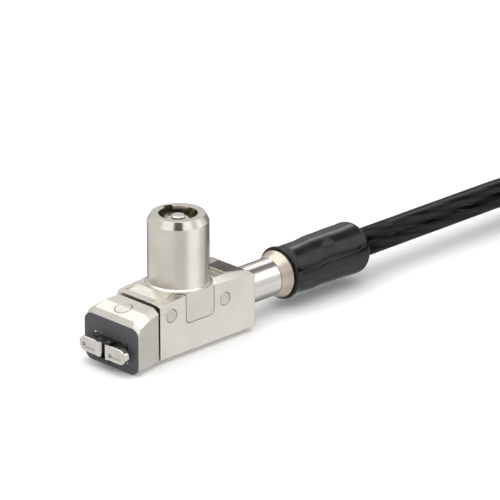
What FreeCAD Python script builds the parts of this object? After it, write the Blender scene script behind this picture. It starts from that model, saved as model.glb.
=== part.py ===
"""Laptop cable lock: a slot head with two hooks, a housing with a push-down key barrel, and a coated cable.

X runs from the slot head to the cable, Z is up, and Y is the lock's width.
The origin is on the barrel axis, at the level of the housing's underside. Sizes are in millimetres.
"""
import FreeCAD, Part
import math
import os

Vector = FreeCAD.Vector
AXIS_X = Vector(1, 0, 0)
AXIS_Y = Vector(0, 1, 0)
AXIS_Z = Vector(0, 0, 1)

# Fits and gaps
RUN_FIT = 0.05            # radial gap of shafts and side gap of sliding pieces
PART_GAP = 0.10           # gap between pieces that move past each other without guiding
RIM_GAP = 0.10            # ring of open space round the head of a flush rivet
SWIVEL_GAP = 0.44         # open gap between the head and the housing

# Housing
HOUSING_FRONT = -7.98
HOUSING_REAR = 10.97
HALF_WIDTH = 4.60
EDGE_Z_FRONT = 8.97       # height of the side's top edge at the front
EDGE_Z_MID = 9.47         # and at the top of its arch
EDGE_Z_REAR = 8.86
ARCH_X = 0.5              # where the arch is highest
SHOULDER_WIDTH = 1.95     # sloping strip along the side's top edge
SHOULDER_RISE = 0.22
BELLY_BEVEL_WIDTH = 1.40
BELLY_BEVEL_HEIGHT = 0.75
END_CHAMFER = 0.40

# Barrel and its carriage
LIFT = 2.40               # travel of the barrel when it is unlocked
BARREL_RADIUS = 4.55
BARREL_TOP = 20.16
BARREL_FOOT = 9.50
RIM_CHAMFER_RADIAL = 0.57
RIM_CHAMFER_HEIGHT = 1.11
FLARE_RADIAL = 0.30
FLARE_HEIGHT = 0.45
BORE_RADIUS = 2.87
BORE_FLOOR = 7.60
KEY_NOTCH_WIDTH = 1.30
KEY_NOTCH_DEPTH = 1.80
KEY_NOTCH_RADIAL = 0.70
KEY_NOTCH_ANGLE = 75.0    # degrees from +X
TONGUE_FRONT = -2.80
TONGUE_REAR = 2.70
TONGUE_BOTTOM = 5.05
TONGUE_CORNER = 0.80
PLATE_FRONT = -6.95
PLATE_REAR = 7.40
PLATE_BOTTOM = 8.35
PLATE_FRONT_Z = 9.02      # plate's top surface at its front edge
PLATE_REAR_Z = 9.12
PLATE_FRONT_HALF = 3.85   # half-widths of the plate, front to rear
PLATE_KNEE_X = -3.0
PLATE_MID_HALF = 2.62
PLATE_REAR_HALF = 1.95
PLATE_REAR_KNEE_X = 5.0
LUG_HALF = 1.20
LUG_WALL = 0.80

# Drive wedge, push rod and fork
ROD_RADIUS = 0.75
ROD_TRAVEL = 0.55
WEDGE_BOTTOM = 1.20
WEDGE_REAR = 1.50
WEDGE_FACE = -2.60        # wedge face at the height of the rod axis
WEDGE_HALF = 1.20
ROD_TIP_GAP = 0.30        # from the wedge face at the axis to the rod's flat end
FLOOR_WALL = 1.10         # housing wall under its pockets
PRONG_INNER = 1.55
PRONG_OUTER = 2.15
PRONG_HEIGHT = 0.90
BRIDGE_LENGTH = 0.50

# Cross pins
PIN_RADIUS = 1.05
FRONT_PIN_X = -5.70
FRONT_PIN_Z = 7.04
REAR_PIN_X = 4.96
REAR_PIN_Z = 6.70
PIN_CHAMFER = 0.15

# Head
HEAD_FACE = -13.20        # front of the metal block, behind the pad
PAD_THICKNESS = 0.19
PAD_HALF_WIDTH = 5.585
PAD_BOTTOM = 0.10
PAD_TOP = 7.17
PAD_CORNER = 1.40
BROW_X = -12.63           # top of the sloping brow above the pad
BROW_Z = 8.02
KINK_X = -10.57
KINK_Z = 8.57
HEAD_REAR_Z = 8.85
HEAD_REAR_HALF = 4.705
HEAD_TOP_HALF = 4.14
HEAD_REAR_TOP_HALF = 3.60
RIVET_X = -10.87
RIVET_RADIUS = 1.22
RIVET_SHANK = 0.90
RIVET_DEPTH = 2.70
RIVET_HEAD_DEPTH = 0.90
SPINDLE_RADIUS = 2.60
SPINDLE_Z = 4.40
SPINDLE_FRONT = -9.30
SPINDLE_REAR = -3.70
SPINDLE_GROOVE_GAP = 0.07 # between the front cross pin and the bottom of the retaining groove

# Slot boss and hooks
BOSS_Z = 3.10
BOSS_WIDTH = 6.70
BOSS_HEIGHT = 3.00
BOSS_REAR = -12.20
BOSS_FRONT = -14.05
FRAME_HALF_WIDTH = 3.55
FRAME_HEIGHT = 3.30
FRAME_SINK = 0.06
HOOK_FRONT = -15.25
HOOK_THICKNESS = 1.10
HOOK_HEIGHT = 2.30
HOOK_TIP_Y = 4.80
HOOK_EDGE_ROUND = 0.20
HOOK_GROOVE_WIDTH = 0.62
HOOK_GROOVE_DEPTH = 0.28
HOOK_GROOVE_DROP = 0.28   # groove's centre below the hook's
HOOK_DIMPLE_RADIUS = 0.42
HOOK_PIVOT_Y = 0.90
HOOK_PIN_RADIUS = 0.30
LIP_HALF = 1.50
LIP_FRONT = -15.15

# Lock core
SLEEVE_BOTTOM = 9.60
SHEAR_Z = 13.20           # plane between the sleeve and the turning core
CORE_TOP = 16.60
HUB_RADIUS = 1.60
HUB_TOP = 19.30
POST_RADIUS = 1.05
POST_TOP = 19.85
SHAFT_RADIUS = 0.95
TAIL_BOTTOM = 8.30
TAIL_THICKNESS = 0.90
TAIL_LENGTH = 2.40
TAIL_HALF_WIDTH = 1.20
CLIP_RADIUS = 1.60
CLIP_THICKNESS = 0.30
PIN_COUNT = 7
PIN_CIRCLE = 2.05
KEY_PIN_RADIUS = 0.38
KEY_PIN_PROUD = 0.30
DRIVER_LENGTH = 1.20
PIN_WELL_DEPTH = 2.80

# Springs
LIFT_SPRING_X = -0.60
LIFT_SPRING_Y = 2.90
LIFT_SPRING_RADIUS = 0.85
LIFT_SPRING_WIRE = 0.36
LIFT_SPRING_TURNS = 5
PIN_SPRING_WIRE = 0.14
PIN_SPRING_TURNS = 5

# Anchor, ferrule and sleeve on the cable axis
CABLE_Z = 5.10
STEM_RADIUS = 2.93
STEM_FRONT = 7.35
STEM_REAR = 18.20
STEM_GROOVE_X = 8.10
STEM_GROOVE_LENGTH = 0.90
STEM_GROOVE_RADIUS = 1.90
STEM_NECK_RADIUS = 1.90
STEM_HEAD_RADIUS = 2.40
STEM_HEAD_FRONT = 20.60
STEM_HEAD_REAR = 22.20
STEM_CLIP_HALF = 2.50
STEM_CLIP_BOTTOM = 2.70
COVER_STEM_GAP = 0.27
COVER_FRONT_HALF = 1.95
COVER_REAR_HALF = 2.83
COVER_Z = 9.02
COLLAR_FRONT = 18.30
COLLAR_REAR = 20.00
COLLAR_RADIUS = 3.60
FERRULE_RADIUS = 3.10
FERRULE_REAR = 30.40
FERRULE_SOCKET = 24.00    # where the cable stops inside the ferrule
SLEEVE_FRONT = 20.25
SLEEVE_REAR = 36.60
SLEEVE_RADIUS = 3.85
SLEEVE_REAR_RADIUS = 4.00
SLEEVE_LIP_RADIUS = 4.10
SLEEVE_LIP_LENGTH = 1.30
SLEEVE_ROUND = 1.20

# Cable
CABLE_RADIUS = 2.20
COIL_CENTRE_X = 104.0
COIL_INNER_TURN = 17.80   # centreline radius of the innermost turn
COIL_TURNS = 8.75         # wound in two layers, with a short climb between them
CLIMB_TURNS = 1 / 6
COIL_FLOOR_GAP = 0.75     # the tie passes under the coil
TIE_ANGLE = 235.0
TIE_SPAN = 20.0           # degrees of the coil that the tie covers
TIE_THICKNESS = 0.70
LOOP_FERRULE_LENGTH = 11.0
LOOP_FERRULE_GRIP = 6.0   # length of the tail inside the ferrule
LOOP_FERRULE_WALL = 0.90
LOOP_SPREAD_RADIUS = 16.0
LOOP_ROUND_RADIUS = 14.0


# Sizes that follow from the others
SPINDLE_GROOVE = FRONT_PIN_Z - PIN_RADIUS - SPINDLE_GROOVE_GAP - SPINDLE_Z
COVER_BOTTOM = CABLE_Z + STEM_RADIUS + COVER_STEM_GAP
STEM_CLIP_TOP = COVER_BOTTOM - PART_GAP
HEAD_REAR = HOUSING_FRONT - SWIVEL_GAP
PAD_FACE = HEAD_FACE - PAD_THICKNESS
HOOK_REAR = HOOK_FRONT + HOOK_THICKNESS
HOOK_PIVOT_X = HOOK_FRONT + HOOK_THICKNESS / 2
WEDGE_SLOPE = ROD_TRAVEL / LIFT
ROD_REAR = WEDGE_FACE - ROD_TIP_GAP
BRIDGE_REAR = SPINDLE_FRONT - PART_GAP
LAYER_TURNS = (COIL_TURNS - CLIMB_TURNS) / 2
COIL_OUTER_TURN = COIL_INNER_TURN + 2 * CABLE_RADIUS * LAYER_TURNS
COIL_CENTRE = Vector(COIL_CENTRE_X, -COIL_OUTER_TURN, 0)
LOWER_LAYER_Z = COIL_FLOOR_GAP + CABLE_RADIUS
UPPER_LAYER_Z = LOWER_LAYER_Z + 2 * CABLE_RADIUS
TOP_Z = UPPER_LAYER_Z + 2 * CABLE_RADIUS + 0.05

# Points of the cable from the sleeve to the coil
RUN_POINTS = [
    Vector(SLEEVE_REAR, 0, CABLE_Z),
    Vector(72.0, 0, CABLE_Z),
    Vector(91.0, 0, LOWER_LAYER_Z),
    Vector(COIL_CENTRE_X, 0, LOWER_LAYER_Z),
]

# Points of the tail, from the end of the upper layer up onto the coil and round to the loop's ferrule
TAIL_POINTS = [
    COIL_CENTRE + Vector(-COIL_OUTER_TURN, 0, UPPER_LAYER_Z),
    COIL_CENTRE + Vector(-36.0, 9.5, 7.8),
    COIL_CENTRE + Vector(-31.0, 20.0, 10.6),
    COIL_CENTRE + Vector(-13.8, 32.5, TOP_Z),
    COIL_CENTRE + Vector(0.7, 31.2, TOP_Z),
    COIL_CENTRE + Vector(11.0, 20.9, TOP_Z),
    COIL_CENTRE + Vector(12.2, 6.95, TOP_Z),
]


def block(x0, x1, y0, y1, z0, z1):
    """A box between two corners."""
    return Part.makeBox(x1 - x0, y1 - y0, z1 - z0, Vector(x0, y0, z0))


def rod_x(radius, x0, x1, z, y=0.0):
    """A cylinder along X."""
    return Part.makeCylinder(radius, x1 - x0, Vector(x0, y, z), AXIS_X)


def rod_y(radius, x, half_length, z):
    """A cylinder across the lock, centred on it."""
    return Part.makeCylinder(radius, 2 * half_length, Vector(x, -half_length, z), AXIS_Y)


def rod_z(radius, z0, z1, x=0.0, y=0.0):
    """A cylinder along Z."""
    return Part.makeCylinder(radius, z1 - z0, Vector(x, y, z0), AXIS_Z)


def prism(points, direction):
    """A closed polygon of points pushed along a direction."""
    wire = Part.makePolygon(points + [points[0]])
    return Part.Face(wire).extrude(direction)


def turned(profile, centre, axis):
    """A closed polygon turned a full circle about an axis."""
    wire = Part.makePolygon(profile + [profile[0]])
    return Part.Face(wire).revolve(centre, axis, 360)


def turned_x(profile, z):
    """A solid of revolution about a line along X, from (x, radius) pairs."""
    points = [Vector(x, 0, z + radius) for x, radius in profile]
    return turned(points, Vector(0, 0, z), AXIS_X)


def stadium(width, height, x0, x1, z):
    """A bar along X whose section is a slot shape lying on its side."""
    radius = height / 2
    offset = width / 2 - radius
    bar = block(x0, x1, -offset, offset, z - radius, z + radius)
    return bar.fuse([rod_x(radius, x0, x1, z, -offset), rod_x(radius, x0, x1, z, offset)]).removeSplitter()


def mirrored_y(shape):
    """The same shape on the other side of the lock."""
    return shape.mirror(Vector(0, 0, 0), AXIS_Y)


def coil_spring(wire_diameter, coil_radius, z0, z1, turns, x, y):
    """A round-wire spring standing along Z, its ends inside the given heights."""
    wire_radius = wire_diameter / 2
    length = z1 - z0 - wire_diameter
    path = Part.makeHelix(length / turns, length, coil_radius)
    section = Part.Wire(Part.makeCircle(wire_radius, Vector(coil_radius, 0, 0), AXIS_Y))
    spring = Part.Wire(path).makePipeShell([section], True, True)
    spring.translate(Vector(x, y, z0 + wire_radius))
    return spring


def on_pin_circle(index):
    """Place of one lock pin on its circle."""
    angle = 2 * math.pi * index / PIN_COUNT
    return PIN_CIRCLE * math.cos(angle), PIN_CIRCLE * math.sin(angle)


def plate_outline(grow):
    """Half-widths along the carriage plate as a closed outline, grown by a clearance."""
    half = [
        (PLATE_FRONT - grow, PLATE_FRONT_HALF + grow),
        (PLATE_KNEE_X, PLATE_MID_HALF + grow),
        (PLATE_REAR_KNEE_X, PLATE_MID_HALF + grow),
        (PLATE_REAR + grow, PLATE_REAR_HALF + grow),
    ]
    left = [Vector(x, y, 0) for x, y in half]
    right = [Vector(x, -y, 0) for x, y in reversed(half)]
    return left + right


def standing(outline, z0, z1):
    """A prism from a flat outline between two heights."""
    points = [Vector(p.x, p.y, z0) for p in outline]
    return prism(points, Vector(0, 0, z1 - z0))


def cover_outline(grow):
    """Outline of the rear cover, which widens to the rear."""
    front = PLATE_REAR + PART_GAP - grow
    left = [Vector(front, COVER_FRONT_HALF + grow, 0), Vector(HOUSING_REAR, COVER_REAR_HALF + grow, 0)]
    right = [Vector(p.x, -p.y, 0) for p in reversed(left)]
    return left + right


def housing_outside():
    """Arched body with sloping shoulders and a bevelled underside."""
    top_front = Vector(HOUSING_FRONT, -HALF_WIDTH, EDGE_Z_FRONT + SHOULDER_RISE)
    top_mid = Vector(ARCH_X, -HALF_WIDTH, EDGE_Z_MID + SHOULDER_RISE)
    top_rear = Vector(HOUSING_REAR, -HALF_WIDTH, EDGE_Z_REAR + SHOULDER_RISE)
    low_front = Vector(HOUSING_FRONT, -HALF_WIDTH, 0)
    low_rear = Vector(HOUSING_REAR, -HALF_WIDTH, 0)
    edges = [
        Part.LineSegment(low_front, low_rear).toShape(),
        Part.LineSegment(low_rear, top_rear).toShape(),
        Part.Arc(top_rear, top_mid, top_front).toShape(),
        Part.LineSegment(top_front, low_front).toShape(),
    ]
    body = Part.Face(Part.Wire(edges)).extrude(Vector(0, 2 * HALF_WIDTH, 0))
    bevel = prism([
        Vector(HOUSING_FRONT - 1, HALF_WIDTH - BELLY_BEVEL_WIDTH, 0),
        Vector(HOUSING_FRONT - 1, HALF_WIDTH + 1, 0),
        Vector(HOUSING_FRONT - 1, HALF_WIDTH + 1, BELLY_BEVEL_HEIGHT * (1 + 1 / BELLY_BEVEL_WIDTH)),
    ], Vector(HOUSING_REAR - HOUSING_FRONT + 2, 0, 0))
    body = body.cut([bevel, mirrored_y(bevel)])
    shoulders = [e for e in body.Edges if is_top_side_edge(e)]
    return body.makeChamfer(SHOULDER_RISE, SHOULDER_WIDTH, shoulders)


def is_top_side_edge(edge):
    """True for the two arched edges where the sides meet the top."""
    box = edge.BoundBox
    on_side = box.YLength < 0.01 and abs(abs(box.YMin) - HALF_WIDTH) < 0.01
    return on_side and box.ZMin > EDGE_Z_REAR and box.XLength > 10


def housing():
    """Body with a bore for the spindle, a cross slot for the tongue, and pockets for what moves inside."""
    body = housing_outside()
    tongue_slot = tongue_block(PART_GAP, HALF_WIDTH + 1, EDGE_Z_MID + 2)
    foot_seat = rod_z(BARREL_RADIUS + FLARE_RADIAL + PART_GAP, BARREL_FOOT - RUN_FIT, EDGE_Z_MID + 2)
    plate_pocket = standing(plate_outline(RUN_FIT), PLATE_BOTTOM - RUN_FIT, EDGE_Z_MID + 2)
    spindle_bore = rod_x(SPINDLE_RADIUS + RUN_FIT, HOUSING_FRONT - 1, SPINDLE_REAR + 0.2, SPINDLE_Z)
    wedge_tip = WEDGE_FACE - WEDGE_SLOPE * (SPINDLE_Z - WEDGE_BOTTOM)
    wedge_pocket = block(wedge_tip - PART_GAP, WEDGE_REAR + PART_GAP, -WEDGE_HALF - PART_GAP,
                         WEDGE_HALF + PART_GAP, FLOOR_WALL, SPINDLE_Z + LIFT)
    rod_way = rod_x(ROD_RADIUS + RUN_FIT, SPINDLE_REAR, WEDGE_REAR, SPINDLE_Z)
    lug_front, lug_rear, lug_bottom = lug_limits()
    lug_pocket = block(lug_front - PART_GAP, lug_rear + PART_GAP, -LUG_HALF - PART_GAP, LUG_HALF + PART_GAP,
                       lug_bottom - PART_GAP, PLATE_BOTTOM)
    wells = []
    for side in (-1, 1):
        wells.append(rod_z(LIFT_SPRING_RADIUS + LIFT_SPRING_WIRE, FLOOR_WALL, TONGUE_BOTTOM,
                           LIFT_SPRING_X, side * LIFT_SPRING_Y))
    stem_bore = rod_x(STEM_RADIUS + RUN_FIT, STEM_FRONT - PART_GAP, HOUSING_REAR + 1, CABLE_Z)
    clip_slot = block(STEM_GROOVE_X + PART_GAP, STEM_GROOVE_X + STEM_GROOVE_LENGTH - PART_GAP,
                      -STEM_CLIP_HALF, STEM_CLIP_HALF, STEM_CLIP_BOTTOM, COVER_BOTTOM)
    cover_pocket = standing(cover_outline(0.0), COVER_BOTTOM, EDGE_Z_MID + 2)
    pins = [rod_y(PIN_RADIUS, FRONT_PIN_X, HALF_WIDTH + 1, FRONT_PIN_Z),
            rod_y(PIN_RADIUS, REAR_PIN_X, HALF_WIDTH + 1, REAR_PIN_Z)]
    cuts = [tongue_slot, foot_seat, plate_pocket, spindle_bore, wedge_pocket, rod_way, lug_pocket]
    cuts += wells + [stem_bore, clip_slot, cover_pocket] + pins
    return body.cut(cuts)


def lug_limits():
    """Front, rear and bottom of the carriage lug that the rear cross pin passes through."""
    reach = PIN_RADIUS + RUN_FIT + LUG_WALL
    return REAR_PIN_X - reach, REAR_PIN_X + reach, REAR_PIN_Z - LIFT - reach


def rear_cover():
    """Plate that closes the slot of the stem clip."""
    return standing(cover_outline(0.0), COVER_BOTTOM, COVER_Z)


def cross_pin(x, z):
    """Pin pressed through both sides of the housing, flush with them, its ends chamfered."""
    pin = rod_y(PIN_RADIUS, x, HALF_WIDTH, z)
    rims = [e for e in pin.Edges if e.BoundBox.YLength < 0.01]
    return pin.makeChamfer(PIN_CHAMFER, rims)


def stem_clip():
    """Forked plate that drops into the stem's groove and keeps the stem in its bore."""
    plate = block(STEM_GROOVE_X + PART_GAP, STEM_GROOVE_X + STEM_GROOVE_LENGTH - PART_GAP,
                  -STEM_CLIP_HALF, STEM_CLIP_HALF, STEM_CLIP_BOTTOM, STEM_CLIP_TOP)
    radius = STEM_GROOVE_RADIUS + RUN_FIT
    eye = rod_x(radius, STEM_GROOVE_X, STEM_GROOVE_X + STEM_GROOVE_LENGTH, CABLE_Z)
    mouth = block(STEM_GROOVE_X, STEM_GROOVE_X + STEM_GROOVE_LENGTH, -radius, radius,
                  STEM_CLIP_BOTTOM - 1, CABLE_Z)
    return plate.cut([eye, mouth])


def barrel_tube():
    """Outside of the barrel: flared foot, straight wall and chamfered rim."""
    flare_top = BARREL_FOOT + FLARE_HEIGHT
    profile = [
        (0, BARREL_FOOT), (BARREL_RADIUS + FLARE_RADIAL, BARREL_FOOT),
        (BARREL_RADIUS + FLARE_RADIAL, BARREL_FOOT + FLARE_HEIGHT / 2), (BARREL_RADIUS, flare_top),
        (BARREL_RADIUS, BARREL_TOP - RIM_CHAMFER_HEIGHT),
        (BARREL_RADIUS - RIM_CHAMFER_RADIAL, BARREL_TOP), (0, BARREL_TOP),
    ]
    return turned([Vector(r, 0, z) for r, z in profile], Vector(0, 0, 0), AXIS_Z)


def key_notch():
    """Cut in the rim that lets the key's guide in."""
    notch = block(BORE_RADIUS - 1, BORE_RADIUS + KEY_NOTCH_RADIAL, -KEY_NOTCH_WIDTH / 2,
                  KEY_NOTCH_WIDTH / 2, BARREL_TOP - KEY_NOTCH_DEPTH, BARREL_TOP + 1)
    notch.rotate(Vector(0, 0, 0), AXIS_Z, KEY_NOTCH_ANGLE)
    return notch


def carriage_plate():
    """Top plate that ramps up from both ends to the barrel."""
    front_foot = -BARREL_RADIUS - FLARE_RADIAL
    profile = [
        Vector(PLATE_FRONT, 0, PLATE_BOTTOM), Vector(PLATE_FRONT, 0, PLATE_FRONT_Z),
        Vector(front_foot, 0, BARREL_FOOT + RUN_FIT), Vector(-front_foot, 0, BARREL_FOOT + RUN_FIT),
        Vector(PLATE_REAR, 0, PLATE_REAR_Z), Vector(PLATE_REAR, 0, PLATE_BOTTOM),
    ]
    side = [p - Vector(0, HALF_WIDTH, 0) for p in profile]
    slab = prism(side, Vector(0, 2 * HALF_WIDTH, 0))
    return slab.common(standing(plate_outline(0.0), PLATE_BOTTOM, EDGE_Z_MID + 2))


def tongue_block(grow, half_width, top):
    """Block of the tongue's outline, rounded at its lower corners and grown by a gap."""
    bottom = TONGUE_BOTTOM - grow
    tall = block(TONGUE_FRONT - grow, TONGUE_REAR + grow, -half_width, half_width, bottom, top)
    lower = [e for e in tall.Edges if e.BoundBox.ZMax < bottom + 0.01 and e.BoundBox.XLength < 0.01]
    return tall.makeFillet(TONGUE_CORNER + grow, lower)


def drive_wedge():
    """Foot whose sloping front face pushes the rod forward as the barrel rises."""
    top_x = WEDGE_FACE + WEDGE_SLOPE * (TONGUE_BOTTOM + 1 - SPINDLE_Z)
    tip_x = WEDGE_FACE - WEDGE_SLOPE * (SPINDLE_Z - WEDGE_BOTTOM)
    return prism([
        Vector(tip_x, -WEDGE_HALF, WEDGE_BOTTOM), Vector(WEDGE_REAR, -WEDGE_HALF, WEDGE_BOTTOM),
        Vector(WEDGE_REAR, -WEDGE_HALF, TONGUE_BOTTOM + 1), Vector(top_x, -WEDGE_HALF, TONGUE_BOTTOM + 1),
    ], Vector(0, 2 * WEDGE_HALF, 0))


def carriage_lug():
    """Rear lug with the upright slot that the rear cross pin guides."""
    front, rear, bottom = lug_limits()
    lug = block(front, rear, -LUG_HALF, LUG_HALF, bottom, PLATE_BOTTOM + RUN_FIT)
    radius = PIN_RADIUS + RUN_FIT
    slot = block(REAR_PIN_X - radius, REAR_PIN_X + radius, -LUG_HALF - 1, LUG_HALF + 1,
                 REAR_PIN_Z - LIFT, REAR_PIN_Z)
    ends = [rod_y(radius, REAR_PIN_X, LUG_HALF + 1, REAR_PIN_Z - LIFT),
            rod_y(radius, REAR_PIN_X, LUG_HALF + 1, REAR_PIN_Z)]
    return lug.cut([slot] + ends)


def barrel_carriage():
    """Barrel, plate, tongue, lug and wedge in one piece, bored for the lock cartridge."""
    tongue = tongue_block(0, HALF_WIDTH, BARREL_FOOT + RUN_FIT)
    body = barrel_tube().fuse([carriage_plate(), tongue, drive_wedge(), carriage_lug()])
    bore = rod_z(BORE_RADIUS, BORE_FLOOR, BARREL_TOP + 1)
    return body.cut([bore, key_notch()]).removeSplitter()


def core_sleeve():
    """Fixed lower half of the cartridge, with a well for each driver pin."""
    sleeve = rod_z(BORE_RADIUS, SLEEVE_BOTTOM, SHEAR_Z)
    holes = [rod_z(SHAFT_RADIUS + RUN_FIT, SLEEVE_BOTTOM - 1, SHEAR_Z + 1)]
    for index in range(PIN_COUNT):
        x, y = on_pin_circle(index)
        holes.append(rod_z(KEY_PIN_RADIUS + RUN_FIT, SHEAR_Z - PIN_WELL_DEPTH, SHEAR_Z + 1, x, y))
    return sleeve.cut(holes)


def lock_core():
    """Turning half of the cartridge: a drilled disc and its shaft down to the tail."""
    bottom = SHEAR_Z + RUN_FIT
    body = rod_z(BORE_RADIUS - RUN_FIT, bottom, CORE_TOP)
    body = body.fuse(rod_z(SHAFT_RADIUS, TAIL_BOTTOM, bottom + 1)).removeSplitter()
    holes = []
    for index in range(PIN_COUNT):
        x, y = on_pin_circle(index)
        holes.append(rod_z(KEY_PIN_RADIUS + RUN_FIT, bottom - 1, CORE_TOP + 1, x, y))
    return body.cut(holes)


def core_hub():
    """Ring on the core's disc that the key fits round."""
    return rod_z(HUB_RADIUS, CORE_TOP, HUB_TOP).cut(rod_z(POST_RADIUS, CORE_TOP, HUB_TOP))


def centre_post():
    """Hardened post in the hub, with a chamfered tip."""
    post = rod_z(POST_RADIUS, CORE_TOP, POST_TOP)
    rim = [e for e in post.Edges if e.BoundBox.ZMin > POST_TOP - 0.01]
    return post.makeChamfer(0.15, rim)


def pin_group(radius, z0, z1):
    """One round pin in each hole of the cartridge."""
    pins = []
    for index in range(PIN_COUNT):
        x, y = on_pin_circle(index)
        pins.append(rod_z(radius, z0, z1, x, y))
    return Part.makeCompound(pins)


def pin_springs():
    """One small spring under each driver pin."""
    springs = []
    radius = KEY_PIN_RADIUS - PIN_SPRING_WIRE / 2
    for index in range(PIN_COUNT):
        x, y = on_pin_circle(index)
        springs.append(coil_spring(PIN_SPRING_WIRE, radius, SHEAR_Z - PIN_WELL_DEPTH,
                                   SHEAR_Z - DRIVER_LENGTH, PIN_SPRING_TURNS, x, y))
    return Part.makeCompound(springs)


def core_clip():
    """Ring on the shaft under the sleeve, which keeps the core down."""
    top = SLEEVE_BOTTOM - RUN_FIT
    ring = rod_z(CLIP_RADIUS, top - CLIP_THICKNESS, top)
    return ring.cut(rod_z(SHAFT_RADIUS, top - CLIP_THICKNESS, top))


def cam_tail():
    """Latch lever on the end of the shaft."""
    top = TAIL_BOTTOM + TAIL_THICKNESS
    lever = block(-TAIL_HALF_WIDTH, TAIL_LENGTH, -TAIL_HALF_WIDTH, TAIL_HALF_WIDTH, TAIL_BOTTOM, top)
    lever = lever.common(rod_z(TAIL_LENGTH, TAIL_BOTTOM, top))
    return lever.cut(rod_z(SHAFT_RADIUS, TAIL_BOTTOM, top))


def lift_springs():
    """Pair of springs under the tongue that push the barrel up."""
    springs = []
    for side in (-1, 1):
        springs.append(coil_spring(LIFT_SPRING_WIRE, LIFT_SPRING_RADIUS, FLOOR_WALL, TONGUE_BOTTOM,
                                   LIFT_SPRING_TURNS, LIFT_SPRING_X, side * LIFT_SPRING_Y))
    return Part.makeCompound(springs)


def head_section(x, half, top_half, edge_z, top_z, low_half, low_z, bottom_z):
    """Eight-sided section of the head: flat top and bottom, upright sides, and a chamfer between them."""
    right = [(low_half, bottom_z), (half, low_z), (half, edge_z), (top_half, top_z)]
    left = [(-y, z) for y, z in reversed(right)]
    points = [Vector(x, y, z) for y, z in right + left]
    return Part.makePolygon(points + [points[0]])


def head_half(x):
    """Half-width of the head, which tapers evenly from the pad to the rear."""
    share = (x - HEAD_FACE) / (HEAD_REAR - HEAD_FACE)
    return PAD_HALF_WIDTH + share * (HEAD_REAR_HALF - PAD_HALF_WIDTH)


def head_outside():
    """Head between its sections: pad outline, brow, kink and rear."""
    corner = PAD_CORNER * 0.8
    sections = [
        head_section(HEAD_FACE, PAD_HALF_WIDTH, PAD_HALF_WIDTH - corner, PAD_TOP - corner, PAD_TOP,
                     PAD_HALF_WIDTH - corner, PAD_BOTTOM + corner, PAD_BOTTOM),
        head_section(BROW_X, head_half(BROW_X), HEAD_TOP_HALF, BROW_Z - 0.80, BROW_Z,
                     HEAD_TOP_HALF, 0.80, PAD_BOTTOM),
        head_section(KINK_X, head_half(KINK_X), HEAD_TOP_HALF, KINK_Z - 0.70, KINK_Z,
                     HEAD_TOP_HALF, 0.75, PAD_BOTTOM),
        head_section(HEAD_REAR, HEAD_REAR_HALF, HEAD_REAR_TOP_HALF, HEAD_REAR_Z - 0.65, HEAD_REAR_Z,
                     HEAD_REAR_TOP_HALF, 0.70, PAD_BOTTOM),
    ]
    return Part.makeLoft(sections, True, True)


def head_block():
    """Metal head with a pocket for the boss, a way for the fork, and a bore for the spindle."""
    frame_pocket = block(HEAD_FACE - 1, BOSS_REAR, -FRAME_HALF_WIDTH, FRAME_HALF_WIDTH,
                         BOSS_Z - FRAME_HEIGHT / 2, BOSS_Z + FRAME_HEIGHT / 2)
    half_height = PRONG_HEIGHT / 2 + PART_GAP
    fork_way = block(BOSS_REAR - 0.1, BRIDGE_REAR + PART_GAP, -PRONG_OUTER - PART_GAP,
                     PRONG_OUTER + PART_GAP, BOSS_Z - half_height, BOSS_Z + half_height)
    bridge_way = block(BRIDGE_REAR - BRIDGE_LENGTH - ROD_TRAVEL - PART_GAP, SPINDLE_FRONT,
                       -PRONG_OUTER - PART_GAP, PRONG_OUTER + PART_GAP,
                       BOSS_Z - half_height, bridge_top() + PART_GAP)
    spindle_bore = rod_x(SPINDLE_RADIUS, SPINDLE_FRONT, HEAD_REAR + 1, SPINDLE_Z)
    rivet_seat = [head_rivet_disc(RIM_GAP, 2.0), head_rivet_shank()]
    return head_outside().cut([frame_pocket, fork_way, bridge_way, spindle_bore] + rivet_seat)


def bridge_top():
    """Top of the fork's bridge, just above the push rod."""
    return SPINDLE_Z + ROD_RADIUS


def head_top_z(x):
    """Height of the head's top face between the kink and the rear."""
    share = (x - KINK_X) / (HEAD_REAR - KINK_X)
    return KINK_Z + share * (HEAD_REAR_Z - KINK_Z)


def head_rivet_disc(grow, extra):
    """Round head of the rivet, grown by a gap and reaching above the head's top by an extra height."""
    top = head_top_z(RIVET_X)
    return rod_z(RIVET_RADIUS + grow, top - RIVET_HEAD_DEPTH, top + extra, RIVET_X)


def head_rivet_shank():
    """Shank of the rivet."""
    top = head_top_z(RIVET_X)
    return rod_z(RIVET_SHANK, top - RIVET_DEPTH, top - RIVET_HEAD_DEPTH, RIVET_X)


def head_rivet():
    """Rivet filed flush with the head's top."""
    return head_rivet_disc(0, 2.0).common(head_outside()).fuse(head_rivet_shank()).removeSplitter()


def face_pad():
    """Thin pad on the head's face, open round the boss and its frame."""
    pad = block(PAD_FACE, HEAD_FACE, -PAD_HALF_WIDTH, PAD_HALF_WIDTH, PAD_BOTTOM, PAD_TOP)
    corners = [e for e in pad.Edges if e.BoundBox.XLength > PAD_THICKNESS / 2]
    pad = pad.makeFillet(PAD_CORNER, corners)
    window = block(PAD_FACE - 1, HEAD_FACE + 1, -FRAME_HALF_WIDTH, FRAME_HALF_WIDTH,
                   BOSS_Z - FRAME_HEIGHT / 2, BOSS_Z + FRAME_HEIGHT / 2)
    return pad.cut(window)


def window_frame():
    """Metal frame that holds the boss in the head."""
    frame = block(PAD_FACE + FRAME_SINK, BOSS_REAR, -FRAME_HALF_WIDTH, FRAME_HALF_WIDTH,
                  BOSS_Z - FRAME_HEIGHT / 2, BOSS_Z + FRAME_HEIGHT / 2)
    return frame.cut(stadium(BOSS_WIDTH, BOSS_HEIGHT, PAD_FACE - 1, BOSS_REAR + 1, BOSS_Z))


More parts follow.
